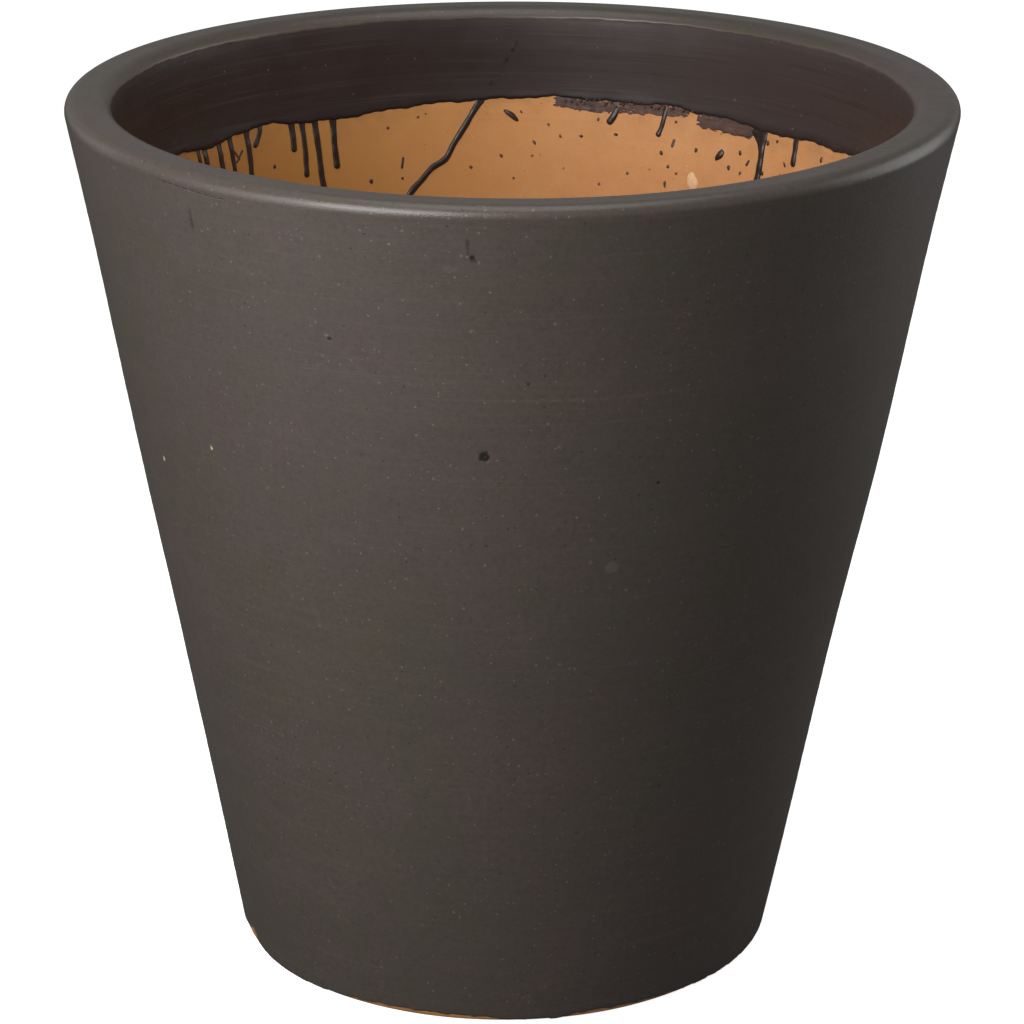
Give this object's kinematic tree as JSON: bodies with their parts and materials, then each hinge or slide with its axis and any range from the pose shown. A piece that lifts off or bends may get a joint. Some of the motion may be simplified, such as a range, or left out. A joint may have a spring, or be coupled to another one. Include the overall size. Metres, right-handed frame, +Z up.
{
  "type": "terracotta pot",
  "caption": "Large conical terracotta planter with a thick rounded lip, a matt charcoal glaze outside, a dark glazed band with drips inside, and a drain hole in its floor.",
  "frame": {"origin": "centre of the foot's circle, on the ground", "axes": "+Z up the pot's axis of revolution; +Y towards the side of the inner wall that has the glaze runs"},
  "size_m": [0.4, 0.4, 0.402],
  "materials": {
    "bare_clay": "matt bare fired clay",
    "charcoal_glaze": "matt satin glaze, mottled charcoal brown",
    "brown_glaze": "brushed satin glaze, dark purple brown",
    "run_glaze": "glossy near-black glaze",
    "pale_slip": "matt pale slip"
  },
  "bodies": {
    "root": {"clay_body": "bare_clay", "outer_glaze": "charcoal_glaze", "inner_glaze_band": "brown_glaze", "glaze_runs": "run_glaze", "glaze_spatter": "run_glaze", "brush_marks": "brown_glaze", "slip_dab": "pale_slip"}
  },
  "joints": []
}
